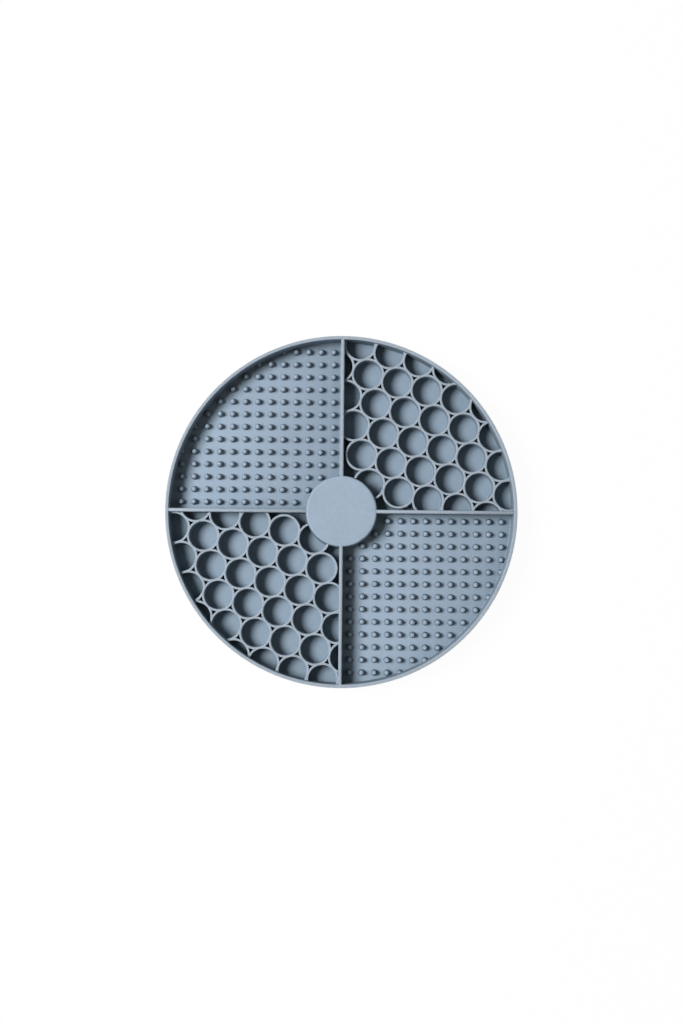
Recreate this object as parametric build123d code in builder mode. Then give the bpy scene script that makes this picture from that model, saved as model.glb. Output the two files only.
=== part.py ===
"""Round silicone lick mat: a rimmed tray split into four bays round a plain hub.

Two opposite bays hold close-packed upright cups, the other two hold a grid of low nubs.
Millimetres, +Z up. The origin lies on the resting surface, under the middle of the mat.
Seen from above, +X is right and +Y is back.
"""

import os
from math import atan2, degrees, dist, hypot, sqrt

from build123d import *

# Tray
mat_diameter = 200.0
rim_thickness = 2.0
rim_edge_radius = 0.5
rim_foot_clearance = 0.6
floor_thickness = 2.0
bay_depth = 12.0
divider_thickness = 2.0
divider_edge_radius = 0.4
edge_limit_share = 0.45

# Hub
hub_diameter = 40.2
hub_foot_flare = 0.9
hub_edge_radius = 1.0

# Cups
cup_bore_diameter = 16.0
cup_wall_thickness = 1.35
cup_web_thickness = 1.45
cup_height = 9.0
cup_seam = 0.04
first_cup_setback = 2.05
cup_overlap_share = 0.25

# Nubs
nub_diameter = 4.0
nub_top_diameter = 2.4
nub_pitch = 7.25
nub_height = 3.7
nub_inset = 5.1
nub_round_share = 0.8
nub_overlap_share = 0.25

# Suction cups under the floor
suction_height = 3.0
suction_diameter = 26.0
suction_lip_width = 1.0
suction_lip_thickness = 0.7
suction_root_diameter = 17.0
suction_cavity_depth = 1.8
suction_circle_diameter = 124.0

# Heights, radii and spacings that follow from the sizes above
floor_top = suction_height + floor_thickness
wall_top = floor_top + bay_depth
rim_radius = mat_diameter / 2
rim_inner_radius = rim_radius - rim_thickness
hub_radius = hub_diameter / 2
hub_foot_radius = hub_radius + hub_foot_flare
cup_radius = cup_bore_diameter / 2 + cup_wall_thickness
cup_pitch = cup_bore_diameter + cup_web_thickness
first_cup_distance = hub_radius + first_cup_setback
nub_radius = nub_diameter / 2
nub_top_radius = nub_top_diameter / 2
suction_radius = suction_diameter / 2

# Quarter turns, anticlockwise from above, that bring a divider or a bay to its place
divider_turns = {"right": 0, "back": 90, "left": 180, "front": 270}
bay_turns = {"back_right": 0, "back_left": 90, "front_left": 180, "front_right": 270}
cup_bays = ("back_right", "front_left")
nub_bays = ("back_left", "front_right")


def save(part, label):
    """Label a finished piece and write it."""
    part.label = label
    export_step(part, f"parts/{label}.step")


def turned_floor(turn):
    """Plane on the tray floor, turned about the middle of the mat."""
    return Plane.XY.offset(floor_top).rotated((0, 0, turn))


def bay_room(turn):
    """Open space of one bay: inside the rim, between two dividers and outside the hub."""
    with BuildPart() as room:
        with BuildSketch(turned_floor(turn)):
            with Locations((divider_thickness / 2, divider_thickness / 2)):
                Rectangle(rim_inner_radius, rim_inner_radius, align=(Align.MIN, Align.MIN))
            Circle(rim_inner_radius, mode=Mode.INTERSECT)
        extrude(amount=bay_depth)
        add(centre_hub.part, mode=Mode.SUBTRACT)
    return room.part


def find_cup_places():
    """Cup centres of a bay between +X and +Y: rows along the bay's diagonal, packed like honeycomb."""
    row_step = cup_pitch * sqrt(3) / 2
    overlap = cup_pitch * cup_overlap_share
    row_count = int(rim_radius / row_step) + 1
    cups_per_row = int(rim_radius / cup_pitch) + 1
    places = []
    for row in range(-row_count, row_count + 1):
        across = row * row_step
        for number in range(cups_per_row):
            along = first_cup_distance + (number + row % 2 / 2) * cup_pitch
            x = (along - across) / sqrt(2)
            y = (along + across) / sqrt(2)
            within_rim = hypot(x, y) < rim_inner_radius + overlap
            if within_rim and min(x, y) > -overlap and hypot(x, y) > hub_foot_radius:
                places.append((x, y))
    return places


def cup_outline(place, places):
    """One cup seen from above: a ring with a flat wherever a neighbouring cup meets it."""
    with BuildSketch() as outline:
        with Locations(place):
            Circle(cup_radius)
        for other in places:
            if 0 < dist(place, other) < 2 * cup_radius:
                span = Vector(*other) - Vector(*place)
                flat = Vector(*place) + span.normalized() * (span.length - cup_seam) / 2
                with Locations(Location(flat, (0, 0, degrees(atan2(span.Y, span.X))))):
                    Rectangle(
                        cup_radius, 2 * cup_radius, align=(Align.MIN, Align.CENTER), mode=Mode.SUBTRACT
                    )
        with Locations(place):
            Circle(cup_bore_diameter / 2, mode=Mode.SUBTRACT)
    return outline.sketch


def find_nub_places():
    """Nub centres of a bay between +X and +Y: a square grid between the hub and the rim."""
    nubs_per_row = int(rim_radius / nub_pitch) + 1
    nearest = hub_radius + nub_radius
    furthest = rim_inner_radius + nub_diameter * nub_overlap_share
    places = []
    for column in range(nubs_per_row):
        for row in range(nubs_per_row):
            place = (nub_inset + column * nub_pitch, nub_inset + row * nub_pitch)
            if nearest < hypot(*place) < furthest:
                places.append(place)
    return places


os.makedirs("parts", exist_ok=True)

# Tray floor
with BuildPart() as tray_floor:
    with BuildSketch(Plane.XY.offset(suction_height)):
        Circle(rim_inner_radius)
    extrude(amount=floor_thickness)
save(tray_floor.part, "tray_floor")

# Outer rim, from just above the resting surface to the top of the bays
with BuildPart() as outer_rim:
    with BuildSketch(Plane.XY.offset(rim_foot_clearance)):
        Circle(rim_radius)
        Circle(rim_inner_radius, mode=Mode.SUBTRACT)
    extrude(amount=wall_top - rim_foot_clearance)
    top_edges = outer_rim.edges().group_by(Axis.Z)[-1]
    fillet(top_edges, radius=min(rim_edge_radius, rim_thickness * edge_limit_share))
save(outer_rim.part, "outer_rim")

# Centre hub, a little wider at its foot
with BuildPart() as centre_hub:
    with BuildSketch(Plane.XY.offset(floor_top)):
        Circle(hub_foot_radius)
    with BuildSketch(Plane.XY.offset(wall_top)):
        Circle(hub_radius)
    loft()
    fillet(centre_hub.edges().group_by(Axis.Z)[-1], radius=hub_edge_radius)
save(centre_hub.part, "centre_hub")

# Dividers from the hub to the rim
for side, turn in divider_turns.items():
    with BuildPart() as divider:
        with BuildSketch(turned_floor(turn)):
            Rectangle(rim_inner_radius, divider_thickness, align=(Align.MIN, Align.CENTER))
            Circle(rim_inner_radius, mode=Mode.INTERSECT)
        extrude(amount=bay_depth)
        long_edges = divider.edges().filter_by(GeomType.LINE).group_by(Axis.Z)[-1].sort_by(Edge.length)[-2:]
        fillet(long_edges, radius=min(divider_edge_radius, divider_thickness * edge_limit_share))
        add(centre_hub.part, mode=Mode.SUBTRACT)
    save(divider.part, f"divider_{side}")

# Fields of cups, cut off by the rim, the dividers and the hub
cup_places = find_cup_places()
cup_outlines = [cup_outline(place, cup_places) for place in cup_places]
for bay in cup_bays:
    with BuildPart() as cup_field:
        with BuildSketch(turned_floor(bay_turns[bay])):
            add(cup_outlines)
        extrude(amount=cup_height)
        add(bay_room(bay_turns[bay]), mode=Mode.INTERSECT)
    save(cup_field.part, f"cup_field_{bay}")

# One nub: a tapered peg with a round top
with BuildPart() as nub:
    Cone(nub_radius, nub_top_radius, nub_height, align=(Align.CENTER, Align.CENTER, Align.MIN))
    fillet(nub.edges().group_by(Axis.Z)[-1], radius=nub_top_radius * nub_round_share)

# Fields of nubs, cut off by the rim and the hub
nub_places = find_nub_places()
for bay in nub_bays:
    floor = turned_floor(bay_turns[bay])
    with BuildPart() as nub_field:
        with Locations(*[floor * Location(place) for place in nub_places]):
            add(nub.part)
        add(bay_room(bay_turns[bay]), mode=Mode.INTERSECT)
    save(nub_field.part, f"nub_field_{bay}")

# Suction cups: one under the hub and one under each bay
suction_reach = suction_circle_diameter / 2 / sqrt(2)
suction_places = {
    "centre": (0, 0),
    "back_right": (suction_reach, suction_reach),
    "back_left": (-suction_reach, suction_reach),
    "front_left": (-suction_reach, -suction_reach),
    "front_right": (suction_reach, -suction_reach),
}
lip_inner_radius = suction_radius - suction_lip_width
for spot, (x, y) in suction_places.items():
    with BuildPart() as suction_cup:
        with BuildSketch(Plane(origin=(x, y, 0), x_dir=(1, 0, 0), z_dir=(0, -1, 0))):
            with BuildLine():
                Polyline(
                    (lip_inner_radius, 0),
                    (suction_radius, 0),
                    (suction_radius, suction_lip_thickness),
                    (suction_root_diameter / 2, suction_height),
                    (0, suction_height),
                    (0, suction_cavity_depth),
                )
                TangentArc((0, suction_cavity_depth), (lip_inner_radius, 0), tangent=(1, 0))
            make_face()
        revolve(axis=Axis((x, y, 0), (0, 0, 1)))
    save(suction_cup.part, f"suction_cup_{spot}")
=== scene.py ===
"""Round silicone lick mat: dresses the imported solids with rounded, moulded pieces on a studio stage.

Metres, +Z up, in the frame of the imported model. Seen from above, +X is right and +Y is back.
"""

from contextlib import contextmanager
from math import cos, dist, exp, hypot, pi, radians, sin, sqrt, tan

import bmesh
import bpy
from bpy.props import FloatProperty, FloatVectorProperty, PointerProperty
from mathutils import Matrix, Vector


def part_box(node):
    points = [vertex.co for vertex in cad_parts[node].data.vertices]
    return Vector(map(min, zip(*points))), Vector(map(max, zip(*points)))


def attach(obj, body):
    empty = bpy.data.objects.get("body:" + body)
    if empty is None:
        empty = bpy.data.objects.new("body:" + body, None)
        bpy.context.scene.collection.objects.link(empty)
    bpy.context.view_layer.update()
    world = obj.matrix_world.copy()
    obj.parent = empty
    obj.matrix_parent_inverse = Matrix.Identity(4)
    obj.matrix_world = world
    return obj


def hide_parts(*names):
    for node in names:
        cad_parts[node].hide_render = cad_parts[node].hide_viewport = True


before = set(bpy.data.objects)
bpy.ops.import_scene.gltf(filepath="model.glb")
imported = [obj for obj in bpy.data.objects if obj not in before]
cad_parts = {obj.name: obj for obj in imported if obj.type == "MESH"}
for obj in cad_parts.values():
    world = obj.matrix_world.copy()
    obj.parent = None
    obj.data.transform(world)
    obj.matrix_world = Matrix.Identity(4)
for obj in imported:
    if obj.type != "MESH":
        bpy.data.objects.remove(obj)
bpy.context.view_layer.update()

bl_info = {
    "name": "Round lick mat",
    "version": (1, 0, 0),
    "blender": (4, 5, 0),
    "location": "3D View > Sidebar > Lick Mat",
    "description": "Models a round silicone lick mat and its studio stage over the packed solids",
    "category": "Object",
}

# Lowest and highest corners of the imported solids
rim_low, rim_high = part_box("outer_rim")
floor_low, floor_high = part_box("tray_floor")
divider_low, divider_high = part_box("divider_right")
bay_suction_low, bay_suction_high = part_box("suction_cup_back_right")
hub_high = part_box("centre_hub")[1]
cups_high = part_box("cup_field_back_right")[1]
nubs_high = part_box("nub_field_front_right")[1]
suction_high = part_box("suction_cup_centre")[1]

# Levels that the pieces share
rim_foot = rim_low.z
floor_underside = floor_low.z
floor_top = floor_high.z
floor_middle = (floor_underside + floor_top) / 2
wall_top = rim_high.z
cup_top = cups_high.z
nub_top = nubs_high.z

# Millimetres to metres, and the distance within which points are one
MM = 0.001
WELD = 0.001 * MM

# A foot stands this far above the floor it flows into and is sunk this far below it
TOE_LIFT = 0.02 * MM
SUNK = 0.4 * MM

# How many times its setback a fillet's toe reaches out from the wall
TOE_REACH = 1.2

# Steps round a full turn, and the angle up to which neighbouring faces are smoothed
RIM_STEPS = 192
HUB_STEPS = 128
SUCTION_STEPS = 64
CUP_STEPS = 48
NUB_STEPS = 12
SMOOTH_ANGLE = radians(40)

# Share of its pitch or width by which the middle of a cup or nub may lie past a wall
OVERLAP_SHARE = 0.25

# Cups closer than this many pitches share a wall
NEIGHBOUR_REACH = 1.1

# A suction cup's waist: shares of the way in from its rim and up from its lip, and its round
WAIST_IN = 0.3
WAIST_UP = 0.22
WAIST_ROUND = 1.2 * MM

# The crown of its hollow: shares of the hollow's radius and depth, and its round
CROWN_OUT = 0.55
CROWN_UP = 0.82
CROWN_ROUND = 4 * MM

# Round on its lip, as a share of the lip's thickness
LIP_ROUND_SHARE = 1 / 3

# How strongly silicone bends light
SILICONE_IOR = 1.41

# Noise scales: colour clouds and specks, and the mould's swell as a share of its grain
CLOUDS_PER_METRE = 35.0
SPECKS_PER_METRE = 500.0
SWELL_SHARE = 0.15

# Openness at which the painted shade in a hollow starts and is darkest
HOLLOW_SHADE_STARTS = 0.6
HOLLOW_SHADE_FULL = 0.1

# Upward part of the normal at which the painted shade on a side starts and is darkest
SIDE_SHADE_STARTS = 0.7
SIDE_SHADE_FULL = 0.3

# Quarter turns, anticlockwise from above, that bring a divider or a bay to its place
DIVIDER_TURNS = {"right": 0, "back": pi / 2, "left": pi, "front": 3 * pi / 2}
CUP_BAY_TURNS = {"back_right": 0, "front_left": pi}
NUB_BAY_TURNS = {"back_left": pi / 2, "front_right": 3 * pi / 2}


def length(name, description, default):
    """Property for a length, in metres."""
    return FloatProperty(
        name=name,
        description=description,
        default=default,
        min=0,
        precision=5,
        subtype="DISTANCE",
        unit="LENGTH",
    )


def share(name, description, default):
    """Property for a share between 0 and 1."""
    return FloatProperty(name=name, description=description, default=default, min=0, max=1, subtype="FACTOR")


def strength(name, description, default):
    """Property for the strength of a light."""
    return FloatProperty(name=name, description=description, default=default, min=0)


def angle(name, description, default):
    """Property for an angle, given in degrees."""
    return FloatProperty(
        name=name, description=description, default=radians(default), subtype="ANGLE", unit="ROTATION"
    )


def colour(name, description, default):
    """Property for a colour in linear light."""
    return FloatVectorProperty(
        name=name, description=description, default=default, size=3, min=0, max=1, subtype="COLOR"
    )


class MatSizes(bpy.types.PropertyGroup):
    """Sizes of the mat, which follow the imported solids."""

    rim_radius: length("Rim radius", "Outside radius of the mat", rim_high.x)
    rim_thickness: length("Rim thickness", "Thickness of the wall round the mat", rim_high.x - floor_high.x)
    rim_edge: length("Rim edge", "Round on the outer top edge of the rim", 0.2 * MM)
    rim_inner_edge: length("Rim inner edge", "Round on the inner top edge of the rim", 0.7 * MM)
    rim_foot_edge: length("Rim foot edge", "Round on the two bottom edges of the rim", 0.4 * MM)
    foot_fillet: length("Foot fillet", "Hollow round where a wall meets the floor", 0.3 * MM)
    divider_thickness: length(
        "Divider thickness", "Thickness of a divider at its top", divider_high.y - divider_low.y
    )
    divider_draft: length("Divider draft", "How far a divider's sides slope out to its foot", 0.15 * MM)
    divider_edge: length("Divider edge", "Round on the top edges of a divider", 0.7 * MM)
    join_drop: length("Join drop", "How far a divider dips where it runs into the hub or the rim", 0.3 * MM)
    join_run: length("Join run", "How far from its end a divider starts to dip", 0.5 * MM)
    hub_foot_radius: length("Hub foot radius", "Radius of the hub at the floor", hub_high.x)
    hub_flare: length("Hub flare", "How much wider the hub is at its foot than at its top", 0.9 * MM)
    hub_edge: length("Hub edge", "Round on the top edge of the hub", 1 * MM)
    hub_fillet: length("Hub fillet", "Hollow round where the hub meets the floor", 0.2 * MM)
    cup_bore: length("Cup bore", "Inside diameter of a cup", 16 * MM)
    cup_wall: length("Cup wall", "Thickness of the wall of a cup that stands alone", 1.35 * MM)
    cup_web: length("Cup web", "Thickness of the wall that two cups share", 1.45 * MM)
    cup_setback: length("Cup setback", "Distance of the first cup's middle from the hub", 2.05 * MM)
    cup_lip_edge: length("Cup lip edge", "Round on the inside of a cup's lip", 0.5 * MM)
    cup_outer_edge: length("Cup outer edge", "Round on the outside of a cup's lip", 0.3 * MM)
    nub_diameter: length("Nub diameter", "Diameter of a nub at its foot", 4 * MM)
    nub_taper: length("Nub taper", "How much further in a nub's sides are at its top", 0.8 * MM)
    nub_round: length("Nub round", "Round on the top edge of a nub", 0.78 * MM)
    nub_pitch: length("Nub pitch", "Distance between two nubs", 7.25 * MM)
    nub_inset: length("Nub inset", "Distance of the first row of nubs from the middle of a divider", 5.1 * MM)
    suction_radius: length("Suction cup radius", "Outside radius of a suction cup", suction_high.x)
    suction_root: length("Suction cup root", "Radius of a suction cup at the floor", 8.5 * MM)
    suction_lip_width: length("Suction lip width", "Width of the ring that a suction cup rests on", 1 * MM)
    suction_lip_thickness: length("Suction lip thickness", "Thickness of a suction cup at its rim", 0.7 * MM)
    suction_hollow: length("Suction hollow", "Depth of the hollow in a suction cup", 1.8 * MM)

    @property
    def rim_inner(self):
        """Inside radius of the rim."""
        return self.rim_radius - self.rim_thickness

    @property
    def hub_radius(self):
        """Radius of the hub at its top."""
        return self.hub_foot_radius - self.hub_flare

    @property
    def cup_pitch(self):
        """Distance between two cups."""
        return self.cup_bore + self.cup_web


class SiliconeFinish(bpy.types.PropertyGroup):
    """Colour and surface of the silicone."""

    body_colour: colour("Silicone", "Colour of the silicone", (0.335, 0.425, 0.53))
    # Painted shade: colour and strength of the darkening in hollows, which stands in for the shade there
    painted_shade_colour: colour("Hollows", "Deeper colour of the hollows", (0.16, 0.215, 0.25))
    hollow_shade_reach: length("Hollow reach", "How far off a wall still makes a hollow deeper", 15 * MM)
    hollow_shade_amount: share("Hollow amount", "How much deeper the hollows are", 0.8)
    # Painted shade on upright sides
    side_shade_tone: share("Side tone", "Brightness of upright sides beside the rest", 0.72)
    # Painted shade on the floor along the walls
    painted_wall_shade: share("Wall foot", "How much deeper the floor is along a wall", 0.2)
    painted_wall_shade_reach: length("Wall foot reach", "How fast the floor pales away from a wall", 14 * MM)
    # Painted light: nub bays' floors lighter on the left, darker on the right
    painted_bay_light: share("Bay fade", "How much paler a nub bay's floor is on its left than on its right", 0.28)
    # Thin tops take a greyer colour that fades out below them
    grey_top_colour: colour("Grey tops", "Greyer colour of thin tops", (0.356, 0.419, 0.49))
    grey_top_depth: length("Worn depth", "How far down from a thin top the grey fades out", 0.6 * MM)
    matte: share("Matte", "Roughness of the moulded skin", 0.62)
    gloss: share("Gloss", "How strongly the skin mirrors light", 0.2)
    grain_size: length("Grain size", "Size of the grain that the mould leaves", 0.35 * MM)
    grain_depth: length("Grain depth", "Depth of the grain that the mould leaves", 0.012 * MM)
    mottle: share("Mottle", "How uneven the colour is", 0.16)
    # Painted shade: the nubs and the floor are darker copies of the silicone
    nub_shade_tone: share("Nub tone", "Brightness of the nubs beside the rest", 0.95)
    floor_shade_tone: share("Floor tone", "Brightness of the tray floor beside the rest", 0.97)


class StudioStage(bpy.types.PropertyGroup):
    """Floor, light and camera."""

    floor_colour: colour("Floor", "Colour of the studio floor", (0.95, 0.95, 0.95))
    floor_width: length("Floor width", "Width of the studio floor", 4)
    floor_glow: share("Floor glow", "How much of the floor's white is free of shadow", 0.97)
    key_heading: angle("Key heading", "Direction towards the key light, anticlockwise from the right", 173)
    key_height: angle("Key height", "Height of the key light above the floor", 52.2)
    key_softness: angle("Key softness", "Angle across the key light", 24)
    key_distance: length("Key distance", "Distance of the key light from the mat", 1.9)
    key_strength: strength("Key strength", "Light on a face turned to the key", 3.63)
    card_height: angle("Card height", "Height of the bounce card on the right above the floor", 25)
    card_softness: angle("Card softness", "Angle across the bounce card", 50)
    card_strength: strength("Card strength", "Strength of the bounce card", 0.2)
    fill_strength: strength("Fill strength", "Strength of the light all round", 0.1)
    fill_colour: colour("Fill colour", "Colour of the light all round", (1, 0.97, 0.88))
    camera_height: length("Camera height", "Height of the camera above the rim", 700 * MM)
    camera_left: length("Camera left", "How far the camera stands to the left of the middle", 5 * MM)
    camera_front: length("Camera front", "How far the camera stands in front of the middle", 24 * MM)
    camera_aim: length("Camera aim", "How far in front of the middle the camera is aimed", 0.46 * MM)
    camera_roll: angle("Camera roll", "Turn of the camera, anticlockwise from above", 0.52)
    camera_focal: FloatProperty(
        name="Focal length", description="Focal length in millimetres", default=43.4, unit="CAMERA"
    )


# Modelling


def pick(*pieces):
    """Select only these pieces and make the first one active."""
    bpy.ops.object.select_all(action="DESELECT")
    for piece in pieces:
        piece.select_set(True)
    bpy.context.view_layer.objects.active = pieces[0]


@contextmanager
def editing(piece):
    """Edit mode on one piece, with all of it selected."""
    pick(piece)
    bpy.ops.object.mode_set(mode="EDIT")
    bpy.ops.mesh.select_mode(type="VERT")
    bpy.ops.mesh.select_all(action="SELECT")
    yield
    bpy.ops.object.mode_set(mode="OBJECT")


def select_points(piece, wanted):
    """In edit mode, select the points whose place passes a test."""
    mesh = bmesh.from_edit_mesh(piece.data)
    for point in mesh.verts:
        point.select_set(wanted(point.co))
    mesh.select_flush_mode()
    bmesh.update_edit_mesh(piece.data)


def weld():
    """In edit mode, join points that coincide and turn the faces outwards."""
    bpy.ops.mesh.select_all(action="SELECT")
    bpy.ops.mesh.remove_doubles(threshold=WELD)
    bpy.ops.mesh.normals_make_consistent(inside=False)


def draw_section(name, corners):
    """Draw an outline upright beside the Z axis, as (distance from the axis, height) corners."""
    points = [Vector((out, 0, up)) for out, up in corners]
    bpy.ops.object.select_all(action="DESELECT")
    bpy.ops.mesh.primitive_plane_add(location=points[0])
    piece = bpy.context.object
    piece.name = name
    piece.data.name = name
    bpy.ops.object.transform_apply(location=True, rotation=False, scale=False)
    with editing(piece):
        bpy.ops.mesh.merge(type="CENTER")
        for start, end in zip(points, points[1:]):
            bpy.ops.mesh.extrude_vertices_move(TRANSFORM_OT_translate={"value": end - start})
        bpy.ops.mesh.select_all(action="SELECT")
        bpy.ops.mesh.remove_doubles(threshold=WELD)
    return piece


def round_corner(piece, corner, setback, segments):
    """Round one corner of a drawn outline, beginning a setback away from it."""
    spot = Vector((corner[0], 0, corner[1]))
    with editing(piece):
        select_points(piece, lambda place: (place - spot).length < WELD)
        bpy.ops.mesh.bevel(offset=setback, segments=segments, affect="VERTICES")


def spin_section(piece, steps):
    """Spin a drawn outline all the way round the Z axis."""
    with editing(piece):
        bpy.ops.mesh.spin(steps=steps, angle=2 * pi, center=(0, 0, 0), axis=(0, 0, 1))
        weld()


def copy_piece(piece, name):
    """Copy a piece, with a mesh of its own."""
    pick(piece)
    bpy.ops.object.duplicate(linked=False)
    copy = bpy.context.object
    copy.name = name
    copy.data.name = name
    return copy


def move_piece(piece, place):
    """Move a piece from the origin to its place."""
    pick(piece)
    piece.location = place
    bpy.ops.object.transform_apply(location=True, rotation=False, scale=False)


def turn_piece(piece, turn):
    """Turn a piece about the Z axis, anticlockwise from above."""
    pick(piece)
    piece.rotation_euler.z = turn
    bpy.ops.object.transform_apply(location=False, rotation=True, scale=False)


def cut_piece(piece, tool, operation):
    """Cut a piece with another one, and take that one away."""
    pick(piece)
    bpy.ops.object.modifier_add(type="BOOLEAN")
    cut = piece.modifiers[-1]
    cut.object = tool
    cut.operation = operation
    cut.solver = "EXACT"
    bpy.ops.object.modifier_apply(modifier=cut.name)
    pick(tool)
    bpy.ops.object.delete()


def add_drum(name, radius, low, high, steps):
    """Add an upright drum about the Z axis, for cutting with."""
    bpy.ops.object.select_all(action="DESELECT")
    bpy.ops.mesh.primitive_cylinder_add(
        vertices=steps, radius=radius, depth=high - low, location=(0, 0, (low + high) / 2)
    )
    drum = bpy.context.object
    drum.name = name
    bpy.ops.object.transform_apply(location=True, rotation=False, scale=False)
    return drum


def finish_piece(piece, node, material):
    """Smooth a piece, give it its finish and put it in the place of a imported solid."""
    if not piece.data.polygons:
        raise RuntimeError(f"{piece.name} has no faces")
    pick(piece)
    bpy.ops.object.shade_smooth_by_angle(angle=SMOOTH_ANGLE)
    piece.data.materials.clear()
    piece.data.materials.append(material)
    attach(piece, "root")
    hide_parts(node)


# Finishes


def feed(tree, socket, value):
    """Link a socket to the output of another node, or set it to a number or a colour."""
    if isinstance(value, bpy.types.NodeSocket):
        tree.links.new(value, socket)
    else:
        socket.default_value = value


def add_group(name, inputs, outputs):
    """Start a shader node group; returns it with the sockets it is given and those of its result."""
    group = bpy.data.node_groups.new(name, "ShaderNodeTree")
    for socket, kind in inputs.items():
        group.interface.new_socket(name=socket, in_out="INPUT", socket_type=kind)
    for socket, kind in outputs.items():
        group.interface.new_socket(name=socket, in_out="OUTPUT", socket_type=kind)
    given = group.nodes.new("NodeGroupInput")
    result = group.nodes.new("NodeGroupOutput")
    return group, given.outputs, result.inputs


def place_group(tree, group, inputs):
    """Place a node group in a material and feed its inputs. Returns its outputs."""
    node = tree.nodes.new("ShaderNodeGroup")
    node.node_tree = group
    for name, value in inputs.items():
        feed(tree, node.inputs[name], value)
    return node.outputs


def add_math(tree, operation, *values):
    """Add a math node; each value is a socket or a number. Returns its result."""
    node = tree.nodes.new("ShaderNodeMath")
    node.operation = operation
    for socket, value in zip(node.inputs, values):
        feed(tree, socket, value)
    return node.outputs["Value"]


def add_noise(tree, place, scale, detail):
    """Add a noise texture whose scale is a socket or a number. Returns its value."""
    noise = tree.nodes.new("ShaderNodeTexNoise")
    feed(tree, noise.inputs["Vector"], place)
    feed(tree, noise.inputs["Scale"], scale)
    feed(tree, noise.inputs["Detail"], detail)
    return noise.outputs["Fac"]


def add_range(tree, value, start, end):
    """Map a value to 0 at the start of a range and 1 at its end. Returns the result."""
    span = tree.nodes.new("ShaderNodeMapRange")
    feed(tree, span.inputs["Value"], value)
    feed(tree, span.inputs["From Min"], start)
    feed(tree, span.inputs["From Max"], end)
    return span.outputs["Result"]


def add_blend(tree, factor, first, second):
    """Blend from a first colour to a second one. Returns the result."""
    blend = tree.nodes.new("ShaderNodeMix")
    blend.data_type = "RGBA"
    feed(tree, blend.inputs["Factor"], factor)
    feed(tree, blend.inputs["A"], first)
    feed(tree, blend.inputs["B"], second)
    return blend.outputs["Result"]


def add_tone(tree, plain, tone):
    """Multiply the brightness of a plain colour by a tone. Returns the result."""
    shade = tree.nodes.new("ShaderNodeHueSaturation")
    feed(tree, shade.inputs["Color"], plain)
    feed(tree, shade.inputs["Value"], tone)
    return shade.outputs["Color"]


def split(tree, vector):
    """Split a vector. Returns outputs for X, Y and Z."""
    parts = tree.nodes.new("ShaderNodeSeparateXYZ")
    feed(tree, parts.inputs["Vector"], vector)
    return parts.outputs


def mould_grain_group():
    """Height of the fine grain that a blasted mould leaves, with a slower swell under it."""
    group = bpy.data.node_groups.get("mould_grain")
    if group:
        return group
    group, given, result = add_group(
        "mould_grain",
        {"Place": "NodeSocketVector", "Grain Size": "NodeSocketFloat"},
        {"Height": "NodeSocketFloat"},
    )
    fine_scale = add_math(group, "DIVIDE", 1.0, given["Grain Size"])
    slow_scale = add_math(group, "DIVIDE", SWELL_SHARE, given["Grain Size"])
    fine = add_noise(group, given["Place"], fine_scale, detail=2)
    slow = add_noise(group, given["Place"], slow_scale, detail=1)
    feed(group, result["Height"], add_math(group, "ADD", fine, slow))
    return group


def soft_mottle_group():
    """Slightly uneven colour and sheen, as in pigmented silicone."""
    group = bpy.data.node_groups.get("soft_mottle")
    if group:
        return group
    group, given, result = add_group(
        "soft_mottle",
        {
            "Place": "NodeSocketVector",
            "Colour": "NodeSocketColor",
            "Roughness": "NodeSocketFloat",
            "Amount": "NodeSocketFloat",
        },
        {"Colour": "NodeSocketColor", "Roughness": "NodeSocketFloat"},
    )
    clouds = add_noise(group, given["Place"], CLOUDS_PER_METRE, detail=2)
    specks = add_noise(group, given["Place"], SPECKS_PER_METRE, detail=3)
    unevenness = add_math(group, "SUBTRACT", add_math(group, "ADD", clouds, specks), 1.0)
    change = add_math(group, "MULTIPLY", unevenness, given["Amount"])
    tone = add_math(group, "ADD", change, 1.0)
    feed(group, result["Colour"], add_tone(group, given["Colour"], tone))
    feed(group, result["Roughness"], add_math(group, "ADD", change, given["Roughness"]))
    return group


def grey_top_group():
    """Greyer colour on the tops of thin walls."""
    group = bpy.data.node_groups.get("grey_top")
    if group:
        return group
    group, given, result = add_group(
        "grey_top",
        {
            "Place": "NodeSocketVector",
            "Colour": "NodeSocketColor",
            "Grey Colour": "NodeSocketColor",
            "Top": "NodeSocketFloat",
            "Depth": "NodeSocketFloat",
        },
        {"Colour": "NodeSocketColor"},
    )
    below = add_math(group, "SUBTRACT", given["Top"], split(group, given["Place"])["Z"])
    greying = add_range(group, below, given["Depth"], 0.0)
    feed(group, result["Colour"], add_blend(group, greying, given["Colour"], given["Grey Colour"]))
    return group


def hollow_shade_group():
    """Painted shade: darker colour in hollows and along the feet of walls, where less light reaches."""
    group = bpy.data.node_groups.get("painted_hollow_shade")
    if group:
        return group
    group, given, result = add_group(
        "painted_hollow_shade",
        {
            "Colour": "NodeSocketColor",
            "Shade Colour": "NodeSocketColor",
            "Reach": "NodeSocketFloat",
            "Amount": "NodeSocketFloat",
        },
        {"Colour": "NodeSocketColor"},
    )
    # Painted shade: the less open a point is, the more its colour turns to the shade colour
    openness = group.nodes.new("ShaderNodeAmbientOcclusion")
    openness.samples = 4
    feed(group, openness.inputs["Distance"], given["Reach"])
    depth = add_range(group, openness.outputs["AO"], HOLLOW_SHADE_STARTS, HOLLOW_SHADE_FULL)
    factor = add_math(group, "MULTIPLY", depth, given["Amount"])
    feed(group, result["Colour"], add_blend(group, factor, given["Colour"], given["Shade Colour"]))
    return group


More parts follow.
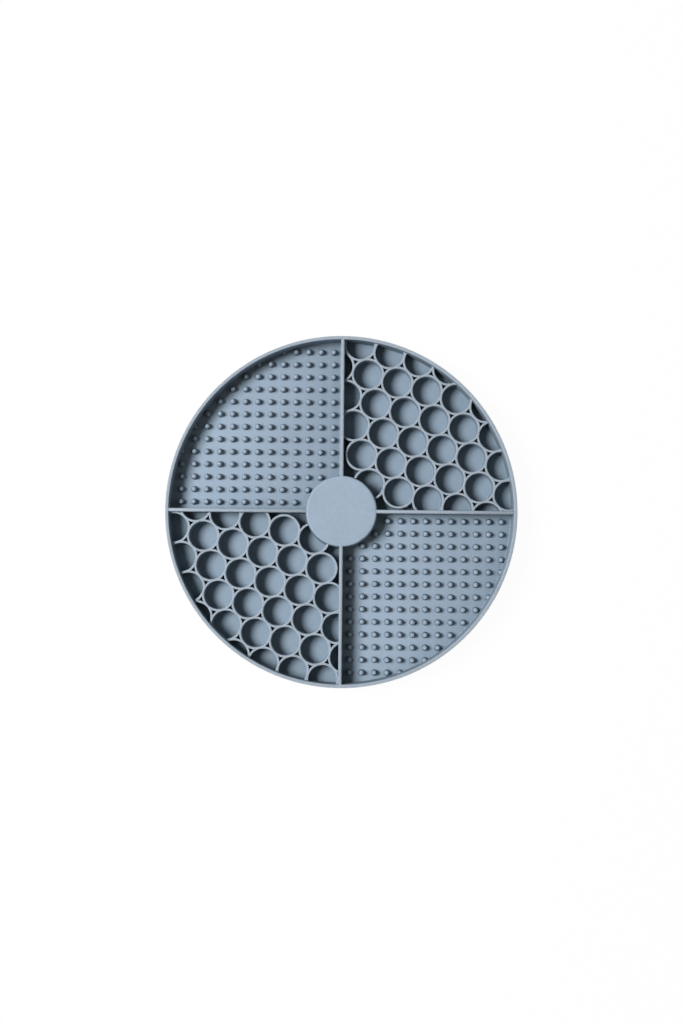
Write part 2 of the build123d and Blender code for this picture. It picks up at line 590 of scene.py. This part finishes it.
def side_shade_group():
    """Painted shade: darker colour on upright sides, which stands in for the shade on them."""
    group = bpy.data.node_groups.get("painted_side_shade")
    if group:
        return group
    group, given, result = add_group(
        "painted_side_shade",
        {"Colour": "NodeSocketColor", "Tone": "NodeSocketFloat"},
        {"Colour": "NodeSocketColor"},
    )
    # Painted shade: the more upright a face is, the darker its colour
    surface = group.nodes.new("ShaderNodeNewGeometry")
    upward = add_math(group, "ABSOLUTE", split(group, surface.outputs["Normal"])["Z"])
    upright = add_range(group, upward, SIDE_SHADE_STARTS, SIDE_SHADE_FULL)
    lost = add_math(group, "MULTIPLY", upright, add_math(group, "SUBTRACT", 1.0, given["Tone"]))
    tone = add_math(group, "SUBTRACT", 1.0, lost)
    feed(group, result["Colour"], add_tone(group, given["Colour"], tone))
    return group


def painted_wall_shade_group(sizes):
    """Painted shade: darker colour on top of the floor towards the rim, the dividers and the hub, where shade
    falls.
    """
    group, given, result = add_group(
        "painted_wall_shade",
        {
            "Place": "NodeSocketVector",
            "Colour": "NodeSocketColor",
            "Shade Colour": "NodeSocketColor",
            "Reach": "NodeSocketFloat",
            "Amount": "NodeSocketFloat",
        },
        {"Colour": "NodeSocketColor"},
    )
    parts = split(group, given["Place"])
    x_square = add_math(group, "MULTIPLY", parts["X"], parts["X"])
    y_square = add_math(group, "MULTIPLY", parts["Y"], parts["Y"])
    radius = add_math(group, "SQRT", add_math(group, "ADD", x_square, y_square))
    to_rim = add_math(group, "SUBTRACT", sizes.rim_inner, radius)
    to_hub = add_math(group, "SUBTRACT", radius, sizes.hub_foot_radius)
    off_x = add_math(group, "ABSOLUTE", parts["X"])
    off_y = add_math(group, "ABSOLUTE", parts["Y"])
    off_cross = add_math(group, "MINIMUM", off_x, off_y)
    to_divider = add_math(group, "SUBTRACT", off_cross, sizes.divider_thickness / 2)
    nearest = add_math(group, "MINIMUM", add_math(group, "MINIMUM", to_rim, to_hub), to_divider)
    # Painted shade that fades with the distance from the nearest wall
    reaches = add_math(group, "DIVIDE", add_math(group, "MAXIMUM", nearest, 0.0), given["Reach"])
    fading = add_math(group, "POWER", exp(-1), reaches)
    is_upper = add_math(group, "GREATER_THAN", parts["Z"], floor_middle)
    amount = add_math(group, "MULTIPLY", is_upper, given["Amount"])
    factor = add_math(group, "MULTIPLY", fading, amount)
    feed(group, result["Colour"], add_blend(group, factor, given["Colour"], given["Shade Colour"]))
    return group


def bay_light_gradient_group(sizes):
    """Painted light: colour on top of the floor that is lighter towards the left of each nub bay and darker
    towards its right.
    """
    group, given, result = add_group(
        "painted_bay_light",
        {"Place": "NodeSocketVector", "Colour": "NodeSocketColor", "Amount": "NodeSocketFloat"},
        {"Colour": "NodeSocketColor"},
    )
    parts = split(group, given["Place"])
    # Painted light and shade across the bay, lighter on its left and darker on its right
    across_bay = add_math(group, "FRACT", add_math(group, "DIVIDE", parts["X"], sizes.rim_inner))
    to_left = add_math(group, "SUBTRACT", 0.5, across_bay)
    is_nub_bay = add_math(group, "LESS_THAN", add_math(group, "MULTIPLY", parts["X"], parts["Y"]), 0.0)
    is_upper = add_math(group, "GREATER_THAN", parts["Z"], floor_middle)
    is_faded = add_math(group, "MULTIPLY", is_nub_bay, is_upper)
    amount = add_math(group, "MULTIPLY", is_faded, given["Amount"])
    tone = add_math(group, "ADD", add_math(group, "MULTIPLY", to_left, amount), 1.0)
    feed(group, result["Colour"], add_tone(group, given["Colour"], tone))
    return group


def silicone(name, tone=1, grey_top=None, smoother=0, grain_share=1, sizes=None):
    """Matte silicone: mottled colour, greyer tops, painted shade in hollows and on upright sides, and mould
    grain.

    Given the mat's sizes, it is the finish of the floor, with painted shade along the walls and painted light
    on the left of each nub bay. A tone below 1 paints the whole colour darker, as shade.
    """
    material = bpy.data.materials.get(name)
    if material:
        return material
    finish = bpy.context.scene.silicone_finish
    painted_shade_colour = (*finish.painted_shade_colour, 1)
    material = bpy.data.materials.new(name)
    material.use_nodes = True
    tree = material.node_tree
    shader = tree.nodes["Principled BSDF"]
    shader.inputs["IOR"].default_value = SILICONE_IOR
    shader.inputs["Specular IOR Level"].default_value = finish.gloss
    place = tree.nodes.new("ShaderNodeTexCoord").outputs["Object"]

    # A tone below 1 paints the colour darker, as shade
    mottle_inputs = {
        "Place": place,
        "Colour": (*[tone * part for part in finish.body_colour], 1),
        "Roughness": finish.matte - smoother,
        "Amount": finish.mottle,
    }
    mottle = place_group(tree, soft_mottle_group(), mottle_inputs)
    tree.links.new(mottle["Roughness"], shader.inputs["Roughness"])
    skin = mottle["Colour"]

    if grey_top is not None:
        grey_top_inputs = {
            "Place": place,
            "Colour": skin,
            "Grey Colour": (*finish.grey_top_colour, 1),
            "Top": grey_top,
            "Depth": finish.grey_top_depth,
        }
        skin = place_group(tree, grey_top_group(), grey_top_inputs)["Colour"]

    # Painted shade in the hollows
    hollow_inputs = {
        "Colour": skin,
        "Shade Colour": painted_shade_colour,
        "Reach": finish.hollow_shade_reach,
        "Amount": finish.hollow_shade_amount,
    }
    skin = place_group(tree, hollow_shade_group(), hollow_inputs)["Colour"]
    # Painted shade on upright sides
    side_inputs = {"Colour": skin, "Tone": finish.side_shade_tone}
    skin = place_group(tree, side_shade_group(), side_inputs)["Colour"]

    # On the floor: painted shade along the walls and painted light on the left of each nub bay
    if sizes is not None:
        foot_inputs = {
            "Place": place,
            "Colour": skin,
            "Shade Colour": painted_shade_colour,
            "Reach": finish.painted_wall_shade_reach,
            "Amount": finish.painted_wall_shade,
        }
        skin = place_group(tree, painted_wall_shade_group(sizes), foot_inputs)["Colour"]
        # Painted light on the left of each nub bay
        fade_inputs = {"Place": place, "Colour": skin, "Amount": finish.painted_bay_light}
        skin = place_group(tree, bay_light_gradient_group(sizes), fade_inputs)["Colour"]
    tree.links.new(skin, shader.inputs["Base Color"])

    grain_inputs = {"Place": place, "Grain Size": finish.grain_size}
    grain = place_group(tree, mould_grain_group(), grain_inputs)
    bump = tree.nodes.new("ShaderNodeBump")
    bump.inputs["Strength"].default_value = grain_share
    bump.inputs["Distance"].default_value = finish.grain_depth
    tree.links.new(grain["Height"], bump.inputs["Height"])
    tree.links.new(bump.outputs["Normal"], shader.inputs["Normal"])
    return material


def wall_silicone():
    """Finish of the rim and the dividers."""
    return silicone("silicone_walls", grey_top=wall_top)


def hub_silicone():
    """Finish of the hub, whose wide top isn't greyed."""
    return silicone("silicone_hub", grain_share=0.4)


def floor_silicone():
    """Finish of the tray floor, a little rougher than the walls, with its colour painted a little darker as
    shade.
    """
    tone = bpy.context.scene.silicone_finish.floor_shade_tone
    return silicone("silicone_floor", tone=tone, smoother=-0.04, sizes=bpy.context.scene.mat_sizes)


def cup_silicone():
    """Finish of the cups, with greyer lips."""
    return silicone("silicone_cups", grey_top=cup_top)


def nub_silicone():
    """Finish of the nubs, a little smoother from the drilled holes of the mould, with their colour painted a
    little darker as shade.
    """
    tone = bpy.context.scene.silicone_finish.nub_shade_tone
    return silicone("silicone_nubs", tone=tone, smoother=0.04, grain_share=0.2)


def suction_silicone():
    """Finish of the suction cups, polished so that they seal."""
    return silicone("silicone_suction_cups", smoother=0.26, grain_share=0.1)


# Pieces


class LICKMAT_OT_tray_floor(bpy.types.Operator):
    """Model the round floor of the tray"""

    bl_idname = "lickmat.tray_floor"
    bl_label = "Tray Floor"

    def execute(self, context):
        sizes = context.scene.mat_sizes
        edge = sizes.rim_inner + SUNK
        corners = [(0, floor_top), (edge, floor_top), (edge, floor_underside), (0, floor_underside)]
        piece = draw_section("moulded_tray_floor", corners)
        spin_section(piece, RIM_STEPS)
        finish_piece(piece, "tray_floor", floor_silicone())
        return {"FINISHED"}


class LICKMAT_OT_outer_rim(bpy.types.Operator):
    """Model the wall round the mat, with rounded edges and a fillet at the floor"""

    bl_idname = "lickmat.outer_rim"
    bl_label = "Outer Rim"

    def execute(self, context):
        sizes = context.scene.mat_sizes
        outer = sizes.rim_radius
        inner = sizes.rim_inner
        toe = inner - TOE_REACH * sizes.foot_fillet
        top_inner = (inner, wall_top)
        top_outer = (outer, wall_top)
        foot_outer = (outer, rim_foot)
        foot_inner = (inner, rim_foot)
        hollow = (inner, floor_top + TOE_LIFT)
        corners = [
            top_inner,
            top_outer,
            foot_outer,
            foot_inner,
            (inner, floor_top - SUNK),
            (toe, floor_top - SUNK),
            (toe, floor_top + TOE_LIFT),
            hollow,
            top_inner,
        ]
        piece = draw_section("moulded_outer_rim", corners)
        round_corner(piece, top_outer, sizes.rim_edge, segments=5)
        round_corner(piece, top_inner, sizes.rim_inner_edge, segments=5)
        for corner in (foot_inner, foot_outer):
            round_corner(piece, corner, sizes.rim_foot_edge, segments=2)
        round_corner(piece, hollow, sizes.foot_fillet, segments=3)
        spin_section(piece, RIM_STEPS)
        finish_piece(piece, "outer_rim", wall_silicone())
        return {"FINISHED"}


class LICKMAT_OT_centre_hub(bpy.types.Operator):
    """Model the plain hub in the middle, wider at its foot"""

    bl_idname = "lickmat.centre_hub"
    bl_label = "Centre Hub"

    def execute(self, context):
        sizes = context.scene.mat_sizes
        foot = sizes.hub_foot_radius
        toe = foot + TOE_REACH * sizes.hub_fillet
        flat_radius = sizes.hub_radius - 2 * sizes.hub_edge
        top_edge = (sizes.hub_radius, wall_top)
        hollow = (foot, floor_top + TOE_LIFT)
        corners = [
            (0, wall_top),
            (flat_radius, wall_top),
            top_edge,
            hollow,
            (toe, floor_top + TOE_LIFT),
            (toe, floor_top - SUNK),
            (0, floor_top - SUNK),
        ]
        piece = draw_section("moulded_centre_hub", corners)
        round_corner(piece, top_edge, sizes.hub_edge, segments=5)
        round_corner(piece, hollow, sizes.hub_fillet, segments=4)
        spin_section(piece, HUB_STEPS)
        finish_piece(piece, "centre_hub", hub_silicone())
        return {"FINISHED"}


def divider_section(sizes):
    """Draw a divider's section across the X axis, about the Z axis, and round its corners."""
    top_half = sizes.divider_thickness / 2
    foot_half = top_half + sizes.divider_draft
    toe_half = foot_half + TOE_REACH * sizes.foot_fillet
    right_side = [
        (top_half, wall_top),
        (foot_half, floor_top + TOE_LIFT),
        (toe_half, floor_top + TOE_LIFT),
        (toe_half, floor_top - SUNK),
    ]
    left_side = [(-out, up) for out, up in reversed(right_side)]
    piece = draw_section("moulded_divider", right_side + left_side + right_side[:1])
    for side in (right_side, left_side[::-1]):
        round_corner(piece, side[0], sizes.divider_edge, segments=4)
        round_corner(piece, side[1], sizes.foot_fillet, segments=3)
    return piece


class LICKMAT_OT_dividers(bpy.types.Operator):
    """Model one divider between the hub and the rim, and copy it to the four sides"""

    bl_idname = "lickmat.dividers"
    bl_label = "Dividers"

    def execute(self, context):
        sizes = context.scene.mat_sizes
        start = sizes.hub_radius - sizes.hub_edge / 2
        end = sizes.rim_inner + sizes.rim_inner_edge / 2
        run = sizes.join_run
        piece = divider_section(sizes)
        turn_piece(piece, pi / 2)
        move_piece(piece, (start, 0, 0))
        with editing(piece):
            bpy.ops.mesh.edge_face_add()
            for step in (run, end - start - 2 * run, run):
                bpy.ops.mesh.extrude_region_move(TRANSFORM_OT_translate={"value": (step, 0, 0)})
            weld()
            top = wall_top - sizes.divider_edge - WELD
            select_points(piece, lambda p: p.z > top and (p.x < start + WELD or p.x > end - WELD))
            bpy.ops.transform.translate(value=(0, 0, -sizes.join_drop))
        for side, turn in DIVIDER_TURNS.items():
            copy = copy_piece(piece, f"moulded_divider_{side}")
            turn_piece(copy, turn)
            finish_piece(copy, f"divider_{side}", wall_silicone())
        pick(piece)
        bpy.ops.object.delete()
        return {"FINISHED"}


def find_cup_places(sizes):
    """Cup centres of a bay between +X and +Y: rows along the bay's diagonal, packed like honeycomb."""
    pitch = sizes.cup_pitch
    row_step = pitch * sqrt(3) / 2
    overlap = OVERLAP_SHARE * pitch
    first = sizes.hub_radius + sizes.cup_setback
    furthest = sizes.rim_inner + overlap
    row_count = int(sizes.rim_radius / row_step) + 1
    places = []
    for row in range(-row_count, row_count + 1):
        across = row * row_step
        for number in range(int(sizes.rim_radius / pitch) + 1):
            along = first + (number + row % 2 / 2) * pitch
            x = (along - across) / sqrt(2)
            y = (along + across) / sqrt(2)
            if sizes.hub_foot_radius < hypot(x, y) < furthest and min(x, y) > -overlap:
                places.append((x, y))
    return places


def cup_ring(sizes):
    """Model one upright cup about the Z axis: a ring with a rounded lip and a fillet at the floor."""
    bore = sizes.cup_bore / 2
    outer = bore + sizes.cup_wall
    toe = bore - TOE_REACH * sizes.foot_fillet
    lip_inner = (bore, cup_top)
    lip_outer = (outer, cup_top)
    hollow = (bore, floor_top + TOE_LIFT)
    corners = [
        lip_inner,
        lip_outer,
        (outer, floor_top - SUNK),
        (toe, floor_top - SUNK),
        (toe, floor_top + TOE_LIFT),
        hollow,
        lip_inner,
    ]
    ring = draw_section("cup_ring", corners)
    round_corner(ring, lip_inner, sizes.cup_lip_edge, segments=3)
    round_corner(ring, lip_outer, sizes.cup_outer_edge, segments=3)
    round_corner(ring, hollow, sizes.foot_fillet, segments=2)
    spin_section(ring, CUP_STEPS)
    return ring


def cup_bay_room(sizes):
    """Room of the bay between +X and +Y, reaching a little into the walls around it."""
    divider = sizes.divider_thickness / 2 - SUNK
    room = add_drum("cup_bay_room", sizes.rim_inner + SUNK, floor_top - 2 * SUNK, wall_top, RIM_STEPS)
    with editing(room):
        for direction in ((1, 0, 0), (0, 1, 0)):
            bpy.ops.mesh.select_all(action="SELECT")
            middle = Vector(direction) * divider
            bpy.ops.mesh.bisect(
                plane_co=middle, plane_no=direction, use_fill=True, clear_inner=True, threshold=WELD
            )
    core = add_drum("hub_core", sizes.hub_radius + SUNK / 2, floor_underside, wall_top + SUNK, HUB_STEPS)
    cut_piece(room, core, "DIFFERENCE")
    return room


class LICKMAT_OT_cup_fields(bpy.types.Operator):
    """Model one cup, pack copies of it into a bay, and copy the field to the opposite bay"""

    bl_idname = "lickmat.cup_fields"
    bl_label = "Cup Fields"

    def execute(self, context):
        sizes = context.scene.mat_sizes
        places = find_cup_places(sizes)
        ring = cup_ring(sizes)
        cups = []
        for place in places:
            cup = copy_piece(ring, "cup")
            move_piece(cup, (*place, 0))
            with editing(cup):
                for other in places:
                    if 0 < dist(place, other) < NEIGHBOUR_REACH * sizes.cup_pitch:
                        middle = (Vector(place) + Vector(other)) / 2
                        span = Vector(other) - Vector(place)
                        bpy.ops.mesh.select_all(action="SELECT")
                        bpy.ops.mesh.bisect(
                            plane_co=middle.to_3d(),
                            plane_no=span.normalized().to_3d(),
                            clear_outer=True,
                            threshold=WELD,
                        )
            cups.append(cup)
        pick(*cups)
        bpy.ops.object.join()
        field = cups[0]
        with editing(field):
            weld()
        cut_piece(field, cup_bay_room(sizes), "INTERSECT")
        for bay, turn in CUP_BAY_TURNS.items():
            copy = copy_piece(field, f"moulded_cup_field_{bay}")
            turn_piece(copy, turn)
            finish_piece(copy, f"cup_field_{bay}", cup_silicone())
        pick(field, ring)
        bpy.ops.object.delete()
        return {"FINISHED"}


def one_nub(sizes):
    """Model one nub about the Z axis: a tapered peg with a round top."""
    foot = (sizes.nub_diameter / 2, floor_top - SUNK)
    shoulder = (sizes.nub_diameter / 2 - sizes.nub_taper, nub_top)
    nub = draw_section("nub", [(0, nub_top), shoulder, foot])
    round_corner(nub, shoulder, sizes.nub_round, segments=3)
    spin_section(nub, NUB_STEPS)
    with editing(nub):
        select_points(nub, lambda place: place.z < floor_top - SUNK + WELD)
        bpy.ops.mesh.edge_face_add()
        weld()
    return nub


class LICKMAT_OT_nub_fields(bpy.types.Operator):
    """Model one nub, array it over a bay, and copy the field to the opposite bay"""

    bl_idname = "lickmat.nub_fields"
    bl_label = "Nub Fields"

    def execute(self, context):
        sizes = context.scene.mat_sizes
        pitch = sizes.nub_pitch
        inset = sizes.nub_inset
        nearest = sizes.hub_radius + sizes.nub_diameter / 2
        furthest = sizes.rim_inner + OVERLAP_SHARE * sizes.nub_diameter

        def is_outside(place):
            """Whether a point is part of a nub in the hub or past the rim."""
            x = inset + round((place.x - inset) / pitch) * pitch
            y = inset + round((place.y - inset) / pitch) * pitch
            return not nearest < hypot(x, y) < furthest

        field = one_nub(sizes)
        move_piece(field, (inset, inset, 0))
        for step in ((pitch, 0, 0), (0, pitch, 0)):
            pick(field)
            bpy.ops.object.modifier_add(type="ARRAY")
            row = field.modifiers[-1]
            row.count = int(sizes.rim_radius / pitch) + 1
            row.use_relative_offset = False
            row.use_constant_offset = True
            row.constant_offset_displace = step
            bpy.ops.object.modifier_apply(modifier=row.name)
        with editing(field):
            select_points(field, is_outside)
            bpy.ops.mesh.delete(type="VERT")
        room = add_drum("nub_bay_room", sizes.rim_inner + SUNK, floor_underside, wall_top, RIM_STEPS)
        cut_piece(field, room, "INTERSECT")
        for bay, turn in NUB_BAY_TURNS.items():
            copy = copy_piece(field, f"moulded_nub_field_{bay}")
            turn_piece(copy, turn)
            finish_piece(copy, f"nub_field_{bay}", nub_silicone())
        pick(field)
        bpy.ops.object.delete()
        return {"FINISHED"}


class LICKMAT_OT_suction_cups(bpy.types.Operator):
    """Model one suction cup under the floor, and copy it to the middle and the four bays"""

    bl_idname = "lickmat.suction_cups"
    bl_label = "Suction Cups"

    def execute(self, context):
        sizes = context.scene.mat_sizes
        outer = sizes.suction_radius
        lip_inner = outer - sizes.suction_lip_width
        rise = floor_underside - sizes.suction_lip_thickness
        lip_edge = (outer, 0)
        skirt_edge = (outer, sizes.suction_lip_thickness)
        waist = (
            outer - WAIST_IN * (outer - sizes.suction_root),
            sizes.suction_lip_thickness + WAIST_UP * rise,
        )
        crown = (CROWN_OUT * lip_inner, CROWN_UP * sizes.suction_hollow)
        corners = [
            (0, floor_underside + SUNK),
            (sizes.suction_root, floor_underside + SUNK),
            (sizes.suction_root, floor_underside),
            waist,
            skirt_edge,
            lip_edge,
            (lip_inner, 0),
            crown,
            (0, sizes.suction_hollow),
        ]
        piece = draw_section("suction_cup", corners)
        round_corner(piece, crown, CROWN_ROUND, segments=5)
        round_corner(piece, waist, WAIST_ROUND, segments=3)
        for corner in (skirt_edge, lip_edge):
            round_corner(piece, corner, LIP_ROUND_SHARE * sizes.suction_lip_thickness, segments=2)
        spin_section(piece, SUCTION_STEPS)
        reach = (bay_suction_low.x + bay_suction_high.x) / 2
        places = {
            "centre": (0, 0, 0),
            "back_right": (reach, reach, 0),
            "back_left": (-reach, reach, 0),
            "front_left": (-reach, -reach, 0),
            "front_right": (reach, -reach, 0),
        }
        for spot, place in places.items():
            copy = copy_piece(piece, f"moulded_suction_cup_{spot}")
            move_piece(copy, place)
            finish_piece(copy, f"suction_cup_{spot}", suction_silicone())
        pick(piece)
        bpy.ops.object.delete()
        return {"FINISHED"}


# Stage


def studio_white(stage):
    """White floor that keeps a faint shadow."""
    material = bpy.data.materials.new("studio_white")
    material.use_nodes = True
    tree = material.node_tree
    paint = tree.nodes["Principled BSDF"]
    paint.inputs["Base Color"].default_value = (*stage.floor_colour, 1)
    paint.inputs["Roughness"].default_value = 0.9
    glow = tree.nodes.new("ShaderNodeEmission")
    ray = tree.nodes.new("ShaderNodeLightPath")
    seen = add_math(tree, "MAXIMUM", ray.outputs["Is Glossy Ray"], ray.outputs["Is Transmission Ray"])
    seen = add_math(tree, "MAXIMUM", ray.outputs["Is Camera Ray"], seen)
    mix = tree.nodes.new("ShaderNodeMixShader")
    tree.links.new(add_math(tree, "MULTIPLY", seen, stage.floor_glow), mix.inputs["Fac"])
    tree.links.new(paint.outputs["BSDF"], mix.inputs[1])
    tree.links.new(glow.outputs["Emission"], mix.inputs[2])
    tree.links.new(mix.outputs["Shader"], tree.nodes["Material Output"].inputs["Surface"])
    return material


def light_world(stage):
    """Weak light from all round, with white behind the floor's edge."""
    world = bpy.data.worlds.new("studio_world")
    world.use_nodes = True
    tree = world.node_tree
    background = tree.nodes["Background"]
    ray = tree.nodes.new("ShaderNodeLightPath")
    is_seen = ray.outputs["Is Camera Ray"]
    tint = add_blend(tree, is_seen, (*stage.fill_colour, 1), (1, 1, 1, 1))
    tree.links.new(tint, background.inputs["Color"])
    tree.links.new(add_math(tree, "MAXIMUM", is_seen, stage.fill_strength), background.inputs["Strength"])
    bpy.context.scene.world = world


def find_direction(heading, height):
    """Direction towards a heading, anticlockwise from the right, and a height above the floor."""
    flat = cos(height)
    return Vector((flat * cos(heading), flat * sin(heading), sin(height)))


def add_key_light(stage):
    """Add a round softbox that looks at the mat from the upper left."""
    towards = find_direction(stage.key_heading, stage.key_height)
    bpy.ops.object.light_add(type="AREA", location=towards * stage.key_distance)
    key = bpy.context.object
    key.name = "key_light"
    key.rotation_euler = towards.to_track_quat("Z", "Y").to_euler()
    key.data.shape = "DISK"
    radius = stage.key_distance * tan(stage.key_softness / 2)
    key.data.size = 2 * radius
    key.data.energy = stage.key_strength * pi * (stage.key_distance**2 + radius**2)


def add_bounce_card(stage):
    """Add weak, wide light from a card on the right."""
    towards = find_direction(heading=0, height=stage.card_height)
    bpy.ops.object.light_add(type="SUN", location=towards)
    card = bpy.context.object
    card.name = "bounce_card"
    card.rotation_euler = towards.to_track_quat("Z", "Y").to_euler()
    card.data.angle = stage.card_softness
    card.data.energy = stage.card_strength
    card.data.color = stage.fill_colour


def add_camera(stage):
    """Camera almost straight above the mat, aimed near the middle of its top."""
    aim = Vector((0, -stage.camera_aim, wall_top))
    place = Vector((-stage.camera_left, -stage.camera_front, wall_top + stage.camera_height))
    backwards = (place - aim).normalized()
    up = Vector((-sin(stage.camera_roll), cos(stage.camera_roll), 0))
    right = up.cross(backwards).normalized()
    upright = backwards.cross(right)
    bpy.ops.object.camera_add(location=place)
    camera = bpy.context.object
    camera.name = "studio_camera"
    camera.rotation_euler = Matrix((right, upright, backwards)).transposed().to_euler()
    camera.data.sensor_fit = "VERTICAL"
    camera.data.sensor_height = 36
    camera.data.lens = stage.camera_focal
    camera.data.clip_start = 0.01
    bpy.context.scene.camera = camera


class LICKMAT_OT_studio(bpy.types.Operator):
    """Set the white floor, the light and the camera"""

    bl_idname = "lickmat.studio"
    bl_label = "Studio"

    def execute(self, context):
        stage = context.scene.studio_stage
        bpy.ops.object.select_all(action="DESELECT")
        bpy.ops.mesh.primitive_plane_add(size=stage.floor_width, location=(0, 0, 0))
        floor = context.object
        floor.name = "studio_floor"
        floor.data.materials.append(studio_white(stage))
        light_world(stage)
        add_key_light(stage)
        add_bounce_card(stage)
        add_camera(stage)
        context.scene.view_settings.view_transform = "Standard"
        return {"FINISHED"}


class LICKMAT_PT_sidebar(bpy.types.Panel):
    """Lick mat pieces and settings"""

    bl_idname = "LICKMAT_PT_sidebar"
    bl_label = "Lick Mat"
    bl_space_type = "VIEW_3D"
    bl_region_type = "UI"
    bl_category = "Lick Mat"

    def draw(self, context):
        for operator in OPERATORS:
            self.layout.operator(operator.bl_idname)
        for settings in (context.scene.mat_sizes, context.scene.silicone_finish, context.scene.studio_stage):
            box = self.layout.box()
            for name in settings.__annotations__:
                box.prop(settings, name)


OPERATORS = (
    LICKMAT_OT_tray_floor,
    LICKMAT_OT_outer_rim,
    LICKMAT_OT_centre_hub,
    LICKMAT_OT_dividers,
    LICKMAT_OT_cup_fields,
    LICKMAT_OT_nub_fields,
    LICKMAT_OT_suction_cups,
    LICKMAT_OT_studio,
)
CLASSES = (MatSizes, SiliconeFinish, StudioStage, *OPERATORS, LICKMAT_PT_sidebar)


def register():
    """Register the classes and hang their settings on the scene."""
    for cls in CLASSES:
        bpy.utils.register_class(cls)
    bpy.types.Scene.mat_sizes = PointerProperty(type=MatSizes)
    bpy.types.Scene.silicone_finish = PointerProperty(type=SiliconeFinish)
    bpy.types.Scene.studio_stage = PointerProperty(type=StudioStage)


def unregister():
    """Take the settings off the scene and unregister the classes."""
    del bpy.types.Scene.studio_stage
    del bpy.types.Scene.silicone_finish
    del bpy.types.Scene.mat_sizes
    for cls in reversed(CLASSES):
        bpy.utils.unregister_class(cls)


def main():
    """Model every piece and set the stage."""
    register()
    bpy.ops.lickmat.tray_floor()
    bpy.ops.lickmat.outer_rim()
    bpy.ops.lickmat.centre_hub()
    bpy.ops.lickmat.dividers()
    bpy.ops.lickmat.cup_fields()
    bpy.ops.lickmat.nub_fields()
    bpy.ops.lickmat.suction_cups()
    bpy.ops.lickmat.studio()


if __name__ == "__main__":
    main()
